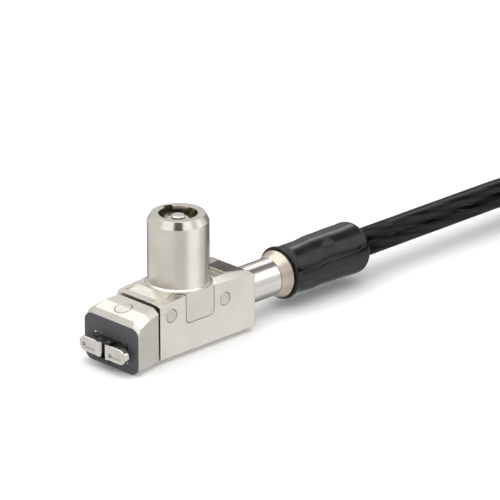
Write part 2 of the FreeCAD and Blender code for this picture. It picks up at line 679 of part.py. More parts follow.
def slot_boss():
    """Black boss that fills the laptop's slot, with a lip above and below the hooks' pins."""
    boss = stadium(BOSS_WIDTH, BOSS_HEIGHT, BOSS_FRONT, BOSS_REAR, BOSS_Z)
    nose = block(LIP_FRONT, BOSS_FRONT, -LIP_HALF, LIP_HALF, BOSS_Z - BOSS_HEIGHT / 2,
                 BOSS_Z + BOSS_HEIGHT / 2)
    mouth_half = HOOK_HEIGHT / 2 + RUN_FIT
    mouth = block(LIP_FRONT - 1, BOSS_FRONT, -LIP_HALF - 1, LIP_HALF + 1, BOSS_Z - mouth_half,
                  BOSS_Z + mouth_half)
    cuts = []
    for side in (-1, 1):
        prong = prong_block(side, PART_GAP)
        cuts += [prong, hook_pin(side)]
    return boss.fuse(nose.cut(mouth)).removeSplitter().cut(cuts)


def hook_pin(side):
    """Upright pin of one hook, as tall as the boss."""
    return rod_z(HOOK_PIN_RADIUS, BOSS_Z - BOSS_HEIGHT / 2, BOSS_Z + BOSS_HEIGHT / 2,
                 HOOK_PIVOT_X, side * HOOK_PIVOT_Y)


def hook():
    """Left hook: a bar that turns on its pin, its tip rounded, with a groove along its front face."""
    half = HOOK_THICKNESS / 2
    low = BOSS_Z - HOOK_HEIGHT / 2
    high = BOSS_Z + HOOK_HEIGHT / 2
    tip_y = HOOK_TIP_Y - HOOK_HEIGHT / 2
    bar = block(HOOK_FRONT, HOOK_REAR, HOOK_PIVOT_Y, tip_y, low, high)
    bar = bar.fuse(rod_x(HOOK_HEIGHT / 2, HOOK_FRONT, HOOK_REAR, BOSS_Z, tip_y)).removeSplitter()
    outline = [e for e in bar.Edges if e.BoundBox.XLength < 0.01 and e.BoundBox.YMin > HOOK_PIVOT_Y - 0.01
               and e.BoundBox.YLength > 0.01]
    bar = bar.makeFillet(HOOK_EDGE_ROUND, outline)
    knuckle = rod_z(half, low, high, HOOK_PIVOT_X, HOOK_PIVOT_Y)
    groove_z = BOSS_Z - HOOK_GROOVE_DROP
    groove = block(HOOK_FRONT - 1, HOOK_FRONT + HOOK_GROOVE_DEPTH, HOOK_PIVOT_Y + half, tip_y,
                   groove_z - HOOK_GROOVE_WIDTH / 2, groove_z + HOOK_GROOVE_WIDTH / 2)
    dimple = rod_x(HOOK_DIMPLE_RADIUS, HOOK_FRONT - 1, HOOK_FRONT + HOOK_GROOVE_DEPTH, BOSS_Z - 0.1, tip_y)
    pin_hole = rod_z(HOOK_PIN_RADIUS + RUN_FIT, low - 1, high + 1, HOOK_PIVOT_X, HOOK_PIVOT_Y)
    return bar.fuse(knuckle).cut([groove, dimple, pin_hole])


def prong_block(side, grow):
    """One prong of the fork, from its bridge to the back of the hook."""
    near, far = PRONG_INNER - grow, PRONG_OUTER + grow
    y0, y1 = (near, far) if side > 0 else (-far, -near)
    half = PRONG_HEIGHT / 2 + grow
    return block(BOSS_FRONT - grow, BRIDGE_REAR, y0, y1, BOSS_Z - half, BOSS_Z + half)


def drive_fork():
    """Fork in the head that pushes the hooks' backs when the push rod moves forward."""
    bridge = block(BRIDGE_REAR - BRIDGE_LENGTH, BRIDGE_REAR, -PRONG_OUTER, PRONG_OUTER,
                   BOSS_Z - PRONG_HEIGHT / 2, bridge_top())
    return bridge.fuse([prong_block(-1, 0), prong_block(1, 0)]).removeSplitter()


def swivel_spindle():
    """Hollow spindle of the head, with a groove that the front cross pin runs in."""
    spindle = rod_x(SPINDLE_RADIUS, SPINDLE_FRONT, SPINDLE_REAR, SPINDLE_Z)
    reach = PIN_RADIUS + PART_GAP
    groove = rod_x(SPINDLE_RADIUS + 1, FRONT_PIN_X - reach, FRONT_PIN_X + reach, SPINDLE_Z)
    groove = groove.cut(rod_x(SPINDLE_GROOVE, FRONT_PIN_X - reach, FRONT_PIN_X + reach, SPINDLE_Z))
    rod_way = rod_x(ROD_RADIUS + RUN_FIT, SPINDLE_FRONT - 1, SPINDLE_REAR + 1, SPINDLE_Z)
    return spindle.cut([groove, rod_way])


def push_rod():
    """Rod through the spindle, from the wedge to the fork."""
    return rod_x(ROD_RADIUS, BRIDGE_REAR + RUN_FIT, ROD_REAR, SPINDLE_Z)


def anchor_stem():
    """Polished stem, held by its groove in the housing and by its head in the ferrule."""
    groove_end = STEM_GROOVE_X + STEM_GROOVE_LENGTH
    return turned_x([
        (STEM_FRONT, 0), (STEM_FRONT, STEM_RADIUS - 0.3), (STEM_FRONT + 0.3, STEM_RADIUS),
        (STEM_GROOVE_X, STEM_RADIUS), (STEM_GROOVE_X, STEM_GROOVE_RADIUS),
        (groove_end, STEM_GROOVE_RADIUS), (groove_end, STEM_RADIUS), (STEM_REAR, STEM_RADIUS),
        (STEM_REAR, STEM_NECK_RADIUS), (STEM_HEAD_FRONT, STEM_NECK_RADIUS),
        (STEM_HEAD_FRONT, STEM_HEAD_RADIUS), (STEM_HEAD_REAR, STEM_HEAD_RADIUS), (STEM_HEAD_REAR, 0),
    ], CABLE_Z)


def crimp_ferrule():
    """Collar that flares over the stem's end, and the tube behind it that grips the cable."""
    neck = STEM_NECK_RADIUS + RUN_FIT
    chamber = STEM_HEAD_RADIUS + RUN_FIT
    return turned_x([
        (COLLAR_FRONT, neck), (COLLAR_FRONT, STEM_RADIUS), (COLLAR_REAR, COLLAR_RADIUS),
        (SLEEVE_FRONT, COLLAR_RADIUS), (SLEEVE_FRONT, FERRULE_RADIUS), (FERRULE_REAR, FERRULE_RADIUS),
        (FERRULE_REAR, CABLE_RADIUS), (FERRULE_SOCKET, CABLE_RADIUS), (FERRULE_SOCKET, 0.8),
        (STEM_HEAD_REAR + RUN_FIT, 0.8), (STEM_HEAD_REAR + RUN_FIT, chamber),
        (STEM_HEAD_FRONT - RUN_FIT, chamber), (STEM_HEAD_FRONT - RUN_FIT, neck),
    ], CABLE_Z)


def cable_sleeve():
    """Glossy strain-relief sleeve with a lip at its front and a rounded rear end."""
    lip_end = SLEEVE_FRONT + SLEEVE_LIP_LENGTH
    profile = [
        Vector(SLEEVE_FRONT, 0, CABLE_Z + FERRULE_RADIUS),
        Vector(SLEEVE_FRONT, 0, CABLE_Z + SLEEVE_LIP_RADIUS - 0.25),
        Vector(SLEEVE_FRONT + 0.25, 0, CABLE_Z + SLEEVE_LIP_RADIUS),
        Vector(lip_end - 0.2, 0, CABLE_Z + SLEEVE_LIP_RADIUS),
        Vector(lip_end, 0, CABLE_Z + SLEEVE_RADIUS),
        Vector(SLEEVE_REAR - SLEEVE_ROUND, 0, CABLE_Z + SLEEVE_REAR_RADIUS),
    ]
    inner = [
        Vector(SLEEVE_REAR, 0, CABLE_Z + SLEEVE_REAR_RADIUS - SLEEVE_ROUND),
        Vector(SLEEVE_REAR, 0, CABLE_Z + CABLE_RADIUS),
        Vector(FERRULE_REAR, 0, CABLE_Z + CABLE_RADIUS),
        Vector(FERRULE_REAR, 0, CABLE_Z + FERRULE_RADIUS),
        profile[0],
    ]
    turn = SLEEVE_ROUND * (1 - math.sqrt(0.5))
    middle = Vector(SLEEVE_REAR - turn, 0, CABLE_Z + SLEEVE_REAR_RADIUS - turn)
    edges = Part.makePolygon(profile).Edges
    edges.append(Part.Arc(profile[-1], middle, inner[0]).toShape())
    edges += Part.makePolygon(inner).Edges
    face = Part.Face(Part.Wire(edges))
    return face.revolve(Vector(0, 0, CABLE_Z), AXIS_X, 360)


def rounded_path(points, name):
    """Straight runs joined by tangent arcs, each as large as its two runs allow."""
    edges = []
    start = points[0]
    for before, corner, after in zip(points, points[1:], points[2:]):
        incoming = (corner - before).normalize()
        outgoing = (after - corner).normalize()
        half_turn = incoming.getAngle(outgoing) / 2
        reach = 0.45 * min((corner - before).Length, (after - corner).Length)
        radius = reach / math.tan(half_turn)
        print(f"{name}: bend of radius {radius:.1f} mm through {math.degrees(2 * half_turn):.1f} degrees")
        first = corner - incoming * reach
        last = corner + outgoing * reach
        inward = (outgoing - incoming).normalize()
        middle = corner + inward * (radius / math.cos(half_turn) - radius)
        edges.append(Part.LineSegment(start, first).toShape())
        edges.append(Part.Arc(first, middle, last).toShape())
        start = last
    edges.append(Part.LineSegment(start, points[-1]).toShape())
    return Part.Wire(edges)


def cable_tube(path, name):
    """Round tube along a path, with its volume checked against section times length."""
    first = path.Edges[0]
    place = first.valueAt(first.FirstParameter)
    direction = first.tangentAt(first.FirstParameter)
    section = Part.Wire(Part.makeCircle(CABLE_RADIUS, place, direction))
    tube = path.makePipeShell([section], True, True)
    expected = math.pi * CABLE_RADIUS ** 2 * path.Length
    print(f"{name}: {path.Length:.1f} mm long, volume {tube.Volume / expected:.4f} of section times length")
    return tube


def cable_run():
    """Cable from inside the ferrule to the coil."""
    inside = Vector(FERRULE_SOCKET, 0, CABLE_Z)
    path = rounded_path([inside] + RUN_POINTS[1:], "cable_run")
    return cable_tube(path, "cable_run")


def cable_tail():
    """Cable from the coil's upper layer to the loop's ferrule."""
    return cable_tube(rounded_path(TAIL_POINTS, "cable_tail"), "cable_tail")


def coil_band(grow, start, span):
    """Ring of the coil's outer shape, or a part of its turn, grown on all sides."""
    inner = COIL_INNER_TURN - CABLE_RADIUS - grow
    outer = COIL_OUTER_TURN + CABLE_RADIUS + grow
    low = COIL_FLOOR_GAP - grow
    high = UPPER_LAYER_Z + CABLE_RADIUS + grow
    outline = [Vector(inner, 0, low), Vector(outer, 0, low), Vector(outer, 0, high), Vector(inner, 0, high)]
    face = Part.Face(Part.makePolygon(outline + [outline[0]]))
    band = face.revolve(Vector(0, 0, 0), AXIS_Z, span)
    band.rotate(Vector(0, 0, 0), AXIS_Z, start)
    band.translate(COIL_CENTRE)
    return band


def cable_coil():
    """Outer shape of the spare cable, wound flat in two layers."""
    return coil_band(0.0, 0.0, 360)


def coil_tie():
    """Strap wrapped once round the coil's turns."""
    start = TIE_ANGLE - TIE_SPAN / 2
    return coil_band(TIE_THICKNESS, start, TIE_SPAN).cut(coil_band(0.0, start - 1, TIE_SPAN + 2))


def loop_place(shape):
    """Moves a shape from the loop's own frame, where the cable comes in along +X, to the tail's end."""
    before, end = TAIL_POINTS[-2:]
    heading = math.degrees(math.atan2(end.y - before.y, end.x - before.x))
    start = end - (end - before).normalize() * LOOP_FERRULE_GRIP
    shape.rotate(Vector(0, 0, 0), AXIS_Z, heading)
    shape.translate(start)
    return shape


def end_loop():
    """Eye of cable lying on the coil: it spreads, rounds its end, and comes back beside itself."""
    offset = 2 * CABLE_RADIUS
    spread_y = offset / 2 + LOOP_SPREAD_RADIUS
    reach = LOOP_SPREAD_RADIUS + LOOP_ROUND_RADIUS
    centre_x = math.sqrt(reach ** 2 - spread_y ** 2)
    centre = Vector(centre_x, 0, 0)
    to_centre = Vector(centre_x, -spread_y, 0).normalize()
    join = Vector(0, spread_y, 0) + to_centre * LOOP_SPREAD_RADIUS
    bend = to_centre.getAngle(Vector(0, -1, 0)) / 2
    middle = Vector(LOOP_SPREAD_RADIUS * math.sin(bend), spread_y - LOOP_SPREAD_RADIUS * math.cos(bend), 0)
    start = Vector(0, offset / 2, 0)
    tip = centre + Vector(LOOP_ROUND_RADIUS, 0, 0)
    flip = [Vector(p.x, -p.y, 0) for p in (join, middle, start)]
    edges = [
        Part.Arc(start, middle, join).toShape(),
        Part.Arc(join, tip, flip[0]).toShape(),
        Part.Arc(flip[0], flip[1], flip[2]).toShape(),
    ]
    tube = cable_tube(Part.Wire(edges), "end_loop")
    tube.translate(Vector(LOOP_FERRULE_LENGTH, -offset / 2, 0))
    return loop_place(tube)


def loop_ferrule():
    """Crimped ferrule that holds the incoming cable and both ends of the loop side by side."""
    offset = 2 * CABLE_RADIUS
    height = 2 * (CABLE_RADIUS + LOOP_FERRULE_WALL)
    shell = stadium(height + offset, height, 0, LOOP_FERRULE_LENGTH, 0)
    shell.translate(Vector(0, -offset / 2, 0))
    floor = block(-1, LOOP_FERRULE_LENGTH + 1, -20, 20, -20, -CABLE_RADIUS)
    return loop_place(shell.cut(floor))


PARTS = {
    "housing": housing(),
    "rear_cover": rear_cover(),
    "stem_clip": stem_clip(),
    "front_cross_pin": cross_pin(FRONT_PIN_X, FRONT_PIN_Z),
    "rear_cross_pin": cross_pin(REAR_PIN_X, REAR_PIN_Z),
    "lift_springs": lift_springs(),
    "barrel_carriage": barrel_carriage(),
    "core_sleeve": core_sleeve(),
    "driver_pins": pin_group(KEY_PIN_RADIUS, SHEAR_Z - DRIVER_LENGTH, SHEAR_Z),
    "pin_springs": pin_springs(),
    "lock_core": lock_core(),
    "core_hub": core_hub(),
    "centre_post": centre_post(),
    "key_pins": pin_group(KEY_PIN_RADIUS, SHEAR_Z + RUN_FIT, CORE_TOP + KEY_PIN_PROUD),
    "core_clip": core_clip(),
    "cam_tail": cam_tail(),
    "head_block": head_block(),
    "head_rivet": head_rivet(),
    "face_pad": face_pad(),
    "window_frame": window_frame(),
    "slot_boss": slot_boss(),
    "hook_pins": Part.makeCompound([hook_pin(-1), hook_pin(1)]),
    "swivel_spindle": swivel_spindle(),
    "hook_left": hook(),
    "hook_right": mirrored_y(hook()),
    "drive_fork": drive_fork(),
    "push_rod": push_rod(),
    "anchor_stem": anchor_stem(),
    "crimp_ferrule": crimp_ferrule(),
    "cable_sleeve": cable_sleeve(),
    "cable_run": cable_run(),
    "cable_coil": cable_coil(),
    "coil_tie": coil_tie(),
    "cable_tail": cable_tail(),
    "loop_ferrule": loop_ferrule(),
    "end_loop": end_loop(),
}

os.makedirs("parts", exist_ok=True)
for node, shape in PARTS.items():
    shape.exportStep(f"parts/{node}.step")
    print(node, "solids", len(shape.Solids), "valid", shape.isValid(), "volume", round(shape.Volume, 3))
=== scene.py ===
"""Finish and light for a laptop cable lock: nickel-plated lock, polished stem and coated steel cable."""
import math

import bpy
import numpy as np
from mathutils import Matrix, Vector


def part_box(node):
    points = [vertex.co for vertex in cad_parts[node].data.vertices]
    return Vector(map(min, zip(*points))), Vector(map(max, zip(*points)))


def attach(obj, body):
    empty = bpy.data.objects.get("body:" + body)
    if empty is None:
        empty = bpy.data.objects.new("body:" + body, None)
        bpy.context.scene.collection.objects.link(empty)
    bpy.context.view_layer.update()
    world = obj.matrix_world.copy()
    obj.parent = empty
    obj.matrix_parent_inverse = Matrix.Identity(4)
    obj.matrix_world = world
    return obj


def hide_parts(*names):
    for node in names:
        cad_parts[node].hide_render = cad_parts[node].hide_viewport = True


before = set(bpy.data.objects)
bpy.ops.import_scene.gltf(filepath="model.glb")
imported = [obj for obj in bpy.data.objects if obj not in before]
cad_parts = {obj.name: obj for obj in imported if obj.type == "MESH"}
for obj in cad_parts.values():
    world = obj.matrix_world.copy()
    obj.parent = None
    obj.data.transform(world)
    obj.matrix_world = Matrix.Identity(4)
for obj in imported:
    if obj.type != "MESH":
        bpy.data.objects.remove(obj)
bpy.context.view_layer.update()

scene = bpy.context.scene

# ---- Camera
# A long lens from the front left, a little above the lock, so that its lines stay nearly parallel.
MM = 0.001
LENS_MM = 309.6
SENSOR_MM = 36.0
AZIMUTH = math.radians(-44.43)
ELEVATION = math.radians(21.40)
DISTANCE = 0.6319
TARGET = Vector((14.5 * MM, 0.0, 10.4 * MM))

toward_camera = Vector((
    math.sin(AZIMUTH) * math.cos(ELEVATION),
    -math.cos(AZIMUTH) * math.cos(ELEVATION),
    math.sin(ELEVATION),
))
camera_data = bpy.data.cameras.new("camera")
camera_data.lens = LENS_MM
camera_data.sensor_width = SENSOR_MM
camera_data.clip_start = 0.01
camera_data.clip_end = 20.0
camera = bpy.data.objects.new("camera", camera_data)
scene.collection.objects.link(camera)
camera.location = TARGET + toward_camera * DISTANCE
camera.rotation_euler = toward_camera.to_track_quat("Z", "Y").to_euler()
scene.camera = camera

# ---- Cable
# Twisted steel strands under a clear, faintly smoky PVC coat. It leaves the sleeve straight, comes down
# to the surface, and its spare length is wound flat in two layers before the tail to the end loop.
CABLE_DIAMETER = 4.4 * MM
CABLE_Z = 5.1
COIL_X = 104.0
COIL_INNER = 17.8
COIL_PITCH = 4.4
COIL_TURNS = 8.75
CLIMB_TURNS = 1 / 6
LAYER_TURNS = (COIL_TURNS - CLIMB_TURNS) / 2
COIL_OUTER = COIL_INNER + COIL_PITCH * LAYER_TURNS
POINTS_PER_TURN = 24
LOWER_Z = 2.95
UPPER_Z = 7.35
TOP_Z = 11.8
CABLE_SIDES = 32
SHORTEST_STEP = 0.001 * MM
RUN_POINTS = [(36.6, 0.0, CABLE_Z), (62.0, 0.0, CABLE_Z), (72.0, 0.0, CABLE_Z), (91.0, 0.0, LOWER_Z)]
TAIL_POINTS = [                    # seen from the coil's centre, after the coil's last point
    (-36.0, 9.5, 7.8), (-31.0, 20.0, 10.6), (-13.8, 32.5, TOP_Z), (0.7, 31.2, TOP_Z), (11.0, 20.9, TOP_Z),
    (12.2, 6.95, TOP_Z),
]
coil_centre = np.array([COIL_X, -COIL_OUTER, 0.0])


def coil_points():
    """Spiral wound clockwise from above: its radius loses one pitch a turn in the lower layer, stays the
    same on the climb, and gains one pitch a turn in the upper layer."""
    steps = round(COIL_TURNS * POINTS_PER_TURN)
    turn = np.arange(steps + 1) / POINTS_PER_TURN
    upper_turn = np.clip(turn - LAYER_TURNS - CLIMB_TURNS, 0, None)
    radius = COIL_OUTER - COIL_PITCH * np.minimum(turn, LAYER_TURNS) + COIL_PITCH * upper_turn
    climb = np.clip((turn - LAYER_TURNS) / CLIMB_TURNS, 0, 1)
    angle = math.pi / 2 - 2 * math.pi * turn
    x = coil_centre[0] + radius * np.cos(angle)
    y = coil_centre[1] + radius * np.sin(angle)
    z = LOWER_Z + (UPPER_Z - LOWER_Z) * climb
    return np.stack([x, y, z], axis=1)


def spline_line(name, points_mm):
    """Points read in order from an open NURBS spline of order 3 that starts and ends on its end points, in
    metres."""
    data = bpy.data.curves.new(name, "CURVE")
    data.dimensions = "3D"
    spline = data.splines.new("NURBS")
    spline.points.add(len(points_mm) - 1)
    flat = np.ones((len(points_mm), 4))
    flat[:, :3] = np.asarray(points_mm) * MM
    spline.points.foreach_set("co", flat.ravel())
    spline.order_u = 3
    spline.use_endpoint_u = True
    spline.resolution_u = 6
    holder = bpy.data.objects.new(name, data)
    scene.collection.objects.link(holder)
    bpy.context.view_layer.update()
    mesh = bpy.data.meshes.new_from_object(holder)
    line = np.empty(len(mesh.vertices) * 3)
    mesh.vertices.foreach_get("co", line)
    bpy.data.objects.remove(holder)
    bpy.data.meshes.remove(mesh)
    line = line.reshape(-1, 3)
    keep = np.concatenate([[True], np.linalg.norm(np.diff(line, axis=0), axis=1) > SHORTEST_STEP])
    return line[keep]


def grid_mesh(name, grid, along, joined=False):
    """Closed surface over a grid of points (rings, sides, 3), with a flat cap on each end, or with its last
    ring joined to its first. Its UV map holds each ring's value of along, and the turns round the ring."""
    rings, sides = grid.shape[:2]
    strips = rings if joined else rings - 1
    ring = np.arange(strips)[:, None]
    beyond = (ring + 1) % rings
    side = np.arange(sides)[None, :]
    after = (side + 1) % sides
    faces = np.stack([ring * sides + side, ring * sides + after,
                      beyond * sides + after, beyond * sides + side], axis=-1).reshape(-1, 4)
    polygons = faces.tolist()
    if not joined:
        polygons.append(list(range(sides))[::-1])
        polygons.append(list(range((rings - 1) * sides, rings * sides)))
    mesh = bpy.data.meshes.new(name)
    mesh.from_pydata(grid.reshape(-1, 3).tolist(), [], polygons)
    near = np.broadcast_to(along[ring], (strips, sides))
    far = np.broadcast_to(along[beyond], (strips, sides))
    start = np.broadcast_to(side / sides, (strips, sides))
    end = start + 1 / sides
    corners = np.zeros((len(mesh.loops), 2))
    corners[:faces.size, 0] = np.stack([near, near, far, far], axis=-1).ravel()
    corners[:faces.size, 1] = np.stack([start, end, end, start], axis=-1).ravel()
    mesh.uv_layers.new(name="uv").data.foreach_set("uv", corners.ravel())
    mesh.polygons.foreach_set("use_smooth", np.arange(len(mesh.polygons)) < len(faces))
    mesh.update()
    piece = bpy.data.objects.new(name, mesh)
    scene.collection.objects.link(piece)
    return piece


def round_tube(name, line, radius, sides):
    """Tube round a line that is never upright: line + radius * (upward * cos(angle) + left * sin(angle)).
    The rings run from the line's far end, so that the faces point outwards."""
    tangent = np.gradient(line, axis=0)
    tangent /= np.linalg.norm(tangent, axis=1)[:, None]
    left = np.cross([0.0, 0.0, 1.0], tangent)
    left /= np.linalg.norm(left, axis=1)[:, None]
    upward = np.cross(tangent, left)
    angle = 2 * math.pi * np.arange(sides)[None, :, None] / sides
    ring = upward[:, None, :] * np.cos(angle) + left[:, None, :] * np.sin(angle)
    grid = line[:, None, :] + radius * ring
    length = np.concatenate([[0], np.cumsum(np.linalg.norm(np.diff(line, axis=0), axis=1))])
    return grid_mesh(name, grid[::-1], length[::-1] / (2 * radius))


def linear(code):
    """Linear colour from an sRGB hex value."""
    parts = [int(code[i:i + 2], 16) / 255 for i in (1, 3, 5)]
    return [p / 12.92 if p <= 0.04045 else ((p + 0.055) / 1.055) ** 2.4 for p in parts] + [1.0]


def add(tree, kind, values=None, links=None, stops=None, **settings):
    """Adds one node: settings are its own properties, values its plain inputs, links its linked inputs, and
    stops the (place, colour) steps of a colour ramp."""
    node = tree.nodes.new(kind)
    for key, value in settings.items():
        setattr(node, key, value)
    for key, value in (values or {}).items():
        node.inputs[key].default_value = value
    for key, socket in (links or {}).items():
        tree.links.new(socket, node.inputs[key])
    if stops:
        elements = node.color_ramp.elements
        elements[0].position, elements[0].color = stops[0]
        elements[1].position, elements[1].color = stops[-1]
        for place, colour in stops[1:-1]:
            elements.new(place).color = colour
    return node


def new_material(name):
    """Empty node material, its tree and its output."""
    material = bpy.data.materials.new(name)
    material.use_nodes = True
    material.node_tree.nodes.clear()
    tree = material.node_tree
    return material, tree, add(tree, "ShaderNodeOutputMaterial")


STRANDS = 9               # strands counted round the cable
STRAND_LAY = 0.055        # turns of the strands in one diameter of length
WIRES = 5                 # fine wires in the width of a strand
STREAKS = 0.9             # glints in the width of a wire, and in one diameter of length
RIB_DEPTH = 0.2 * MM
DARK = (0.0, 0.0, 0.0, 1.0)
DIM = (0.15, 0.15, 0.15, 1.0)
LIT = (1.0, 1.0, 1.0, 1.0)


def coated_strand_cable():
    """Steel strands under smoky clear PVC: near-black strands that slant along the cable, with painted shade
    in the grooves between them, thin brown glints painted into the colour as highlights on their flanks
    where the wires catch the light, and a wet gloss from the coat."""
    material, tree, output = new_material("smoky_pvc_over_steel_strands")
    uv = add(tree, "ShaderNodeTexCoord").outputs["UV"]
    parts = add(tree, "ShaderNodeSeparateXYZ", links={"Vector": uv})
    turned = add(tree, "ShaderNodeMath", {1: STRAND_LAY}, {0: parts.outputs["X"], 2: parts.outputs["Y"]},
                 operation="MULTIPLY_ADD")
    phase = add(tree, "ShaderNodeMath", {1: STRANDS * 2 * math.pi}, {0: turned.outputs[0]},
                operation="MULTIPLY")
    rib = add(tree, "ShaderNodeMath", links={0: phase.outputs[0]}, operation="SINE")
    rib_half = add(tree, "ShaderNodeMath", {1: 0.5, 2: 0.5}, {0: rib.outputs[0]}, operation="MULTIPLY_ADD")
    wire_place = add(tree, "ShaderNodeMath", {1: STRANDS * WIRES}, {0: turned.outputs[0]},
                     operation="MULTIPLY")
    stretched = add(tree, "ShaderNodeCombineXYZ",
                    links={"X": parts.outputs["X"], "Y": wire_place.outputs[0]})
    wires = add(tree, "ShaderNodeTexNoise", {"Scale": STREAKS, "Detail": 3.0, "Roughness": 0.65},
                {"Vector": stretched.outputs[0]})
    # Painted shade: the strands' colour darkens in the grooves between them, where the rib is low, and
    # lightens on their crests.
    strand = add(tree, "ShaderNodeValToRGB", links={"Fac": rib_half.outputs[0]},
                 stops=[(0.0, linear("#040405")), (0.45, linear("#0d0f12")), (1.0, linear("#191d21"))])
    # Painted highlights: brown glints mixed into the base colour where the wire noise is high. They are kept
    # to the strands' flanks and are dimmer on their crests, where the wires would catch the light.
    painted_glint = add(tree, "ShaderNodeValToRGB", links={"Fac": wires.outputs["Fac"]},
                stops=[(0.53, DARK), (0.68, LIT)])
    flank = add(tree, "ShaderNodeValToRGB", links={"Fac": rib_half.outputs[0]},
                stops=[(0.10, DARK), (0.45, LIT), (0.95, DIM)])
    lit = add(tree, "ShaderNodeMath", links={0: painted_glint.outputs["Color"], 1: flank.outputs["Color"]},
              operation="MULTIPLY")
    colour = add(tree, "ShaderNodeMix", {7: linear("#503d2b")},
                 {0: lit.outputs[0], 6: strand.outputs["Color"]}, data_type="RGBA")
    bump = add(tree, "ShaderNodeBump", {"Strength": 0.10, "Distance": RIB_DEPTH}, {"Height": rib.outputs[0]})
    shader = add(tree, "ShaderNodeBsdfPrincipled",
                 {"Roughness": 0.34, "Coat Weight": 0.16, "Coat Roughness": 0.04, "Specular IOR Level": 0.05},
                 {"Base Color": colour.outputs[2], "Normal": bump.outputs[0]})
    tree.links.new(shader.outputs[0], output.inputs["Surface"])
    return material


cable_coat = coated_strand_cable()
tail = coil_centre + TAIL_POINTS
cable_line = spline_line("cable_route", np.concatenate([RUN_POINTS, coil_points(), tail]))
cable = round_tube("cable", cable_line, CABLE_DIAMETER / 2, CABLE_SIDES)
cable.data.materials.append(cable_coat)
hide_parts("cable_run", "cable_coil", "cable_tail")
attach(cable, "housing_body")

# ---- End loop
# The cable's own end, bent round into an eye that the lock passes through, and caught in a ferrule that
# grips the last stretch of the tail. Its points run from the ferrule's start, ahead and to the left.
FERRULE_GRIP = 6.0
EYE_POINTS = [
    (3.0, 0.0), (12.0, 0.0), (20.5, 2.0), (29.07, 11.75), (40.63, 11.75), (48.8, 3.58), (48.8, -7.98),
    (40.63, -16.15), (29.07, -16.15), (20.5, -6.4), (12.0, -4.4), (3.0, -4.4),
]
ahead = (tail[-1] - tail[-2]) / np.linalg.norm(tail[-1] - tail[-2])
leftward = np.array([-ahead[1], ahead[0], 0.0])
ferrule_start = tail[-1] - ahead * FERRULE_GRIP
eye_route = [ferrule_start + ahead * along + leftward * aside for along, aside in EYE_POINTS]
cable_eye = round_tube("cable_eye", spline_line("eye_route", eye_route), CABLE_DIAMETER / 2, CABLE_SIDES)
cable_eye.data.materials.append(cable_coat)
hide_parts("end_loop")
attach(cable_eye, "housing_body")

# ---- Housing and head block
# Zinc castings, tumbled smooth and plated with satin nickel: a warm pale metal whose edges shine a little
# brighter than its faces, with a faint grain left by the tumbling.
GRAIN_MM = 0.12           # the real grain is finer: this is as coarse as it needs to be to show
GRAIN_DEPTH_MM = 0.02
CLOUD_MM = 5.6            # soft patches of the plating's two colours
EDGE_ROUND_MM = 0.10
RIM_BLEND_MM = 0.02       # half the height over which the satin turns to polish
SMOOTHEST = -0.05         # the grain's smoothest and roughest spots, beside the metal's own roughness
ROUGHEST = 0.06


def finish_nodes(material, *names):
    """Gives each CAD node this material in all its slots."""
    for name in names:
        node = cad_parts[name]
        if not node.material_slots:
            node.data.materials.append(material)
        for holder in node.material_slots:
            holder.material = material


def plated_metal(name, base, shade, rough, grain, edge_mm=EDGE_ROUND_MM, drawn=(1, 1, 1), rim=None):
    """Plated metal: two close colours in soft clouds, fine grain in the roughness, and rounded bright edges.
    drawn is the grain's fineness along X, Y and Z, so a small value draws it out into marks. rim is the
    height in millimetres above which the metal is polished, and how much smoother it is there."""
    material, tree, output = new_material(name)
    place = add(tree, "ShaderNodeTexCoord").outputs["Object"]
    spread = add(tree, "ShaderNodeMapping", {"Scale": drawn}, {"Vector": place})
    clouds = add(tree, "ShaderNodeTexNoise", {"Scale": 1 / (CLOUD_MM * MM), "Detail": 3.0},
                 {"Vector": place})
    marks = add(tree, "ShaderNodeTexNoise", {"Scale": 1 / (GRAIN_MM * MM), "Detail": 4.0, "Roughness": 0.7},
                {"Vector": spread.outputs[0]})
    colour = add(tree, "ShaderNodeValToRGB", links={"Fac": clouds.outputs["Fac"]},
                 stops=[(0.3, linear(shade)), (0.7, linear(base))])
    roughness = add(tree, "ShaderNodeMapRange", {"To Min": rough + SMOOTHEST, "To Max": rough + ROUGHEST},
                    {"Value": marks.outputs["Fac"]})
    finish = roughness.outputs[0]
    if rim:
        rim_foot, smoother = rim
        height = add(tree, "ShaderNodeSeparateXYZ", links={"Vector": place}).outputs["Z"]
        polish = add(tree, "ShaderNodeMapRange",
                     {"From Min": (rim_foot - RIM_BLEND_MM) * MM, "From Max": (rim_foot + RIM_BLEND_MM) * MM,
                      "To Min": 0.0, "To Max": smoother}, {"Value": height})
        finish = add(tree, "ShaderNodeMath", links={0: finish, 1: polish.outputs[0]},
                     operation="SUBTRACT").outputs[0]
    edges = add(tree, "ShaderNodeBevel", {"Radius": edge_mm * MM}, samples=6)
    bump = add(tree, "ShaderNodeBump", {"Strength": grain, "Distance": GRAIN_DEPTH_MM * MM},
               {"Height": marks.outputs["Fac"], "Normal": edges.outputs[0]})
    shader = add(tree, "ShaderNodeBsdfPrincipled", {"Metallic": 1.0},
                 {"Base Color": colour.outputs["Color"], "Roughness": finish, "Normal": bump.outputs[0]})
    tree.links.new(shader.outputs[0], output.inputs["Surface"])
    return material


satin_nickel = plated_metal("satin_nickel_on_zinc", "#dfdbd3", "#d6d1c8", rough=0.26, grain=0.20)
finish_nodes(satin_nickel, "housing", "head_block")

# ---- Key barrel and its carriage
# The same satin nickel over a turned surface, so its grain is drawn out round the barrel. The chamfer at
# its top is cut after the tumbling and stays polished.
RIM_HEIGHT = 1.11
RIM_SMOOTHER = 0.14
barrel_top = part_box("barrel_carriage")[1][2] / MM
turned_nickel = plated_metal("turned_satin_nickel", "#ddd9d0", "#d0cbc0", rough=0.25, grain=0.50,
                             drawn=(0.06, 0.06, 0.9), rim=(barrel_top - RIM_HEIGHT, RIM_SMOOTHER))
finish_nodes(turned_nickel, "barrel_carriage")

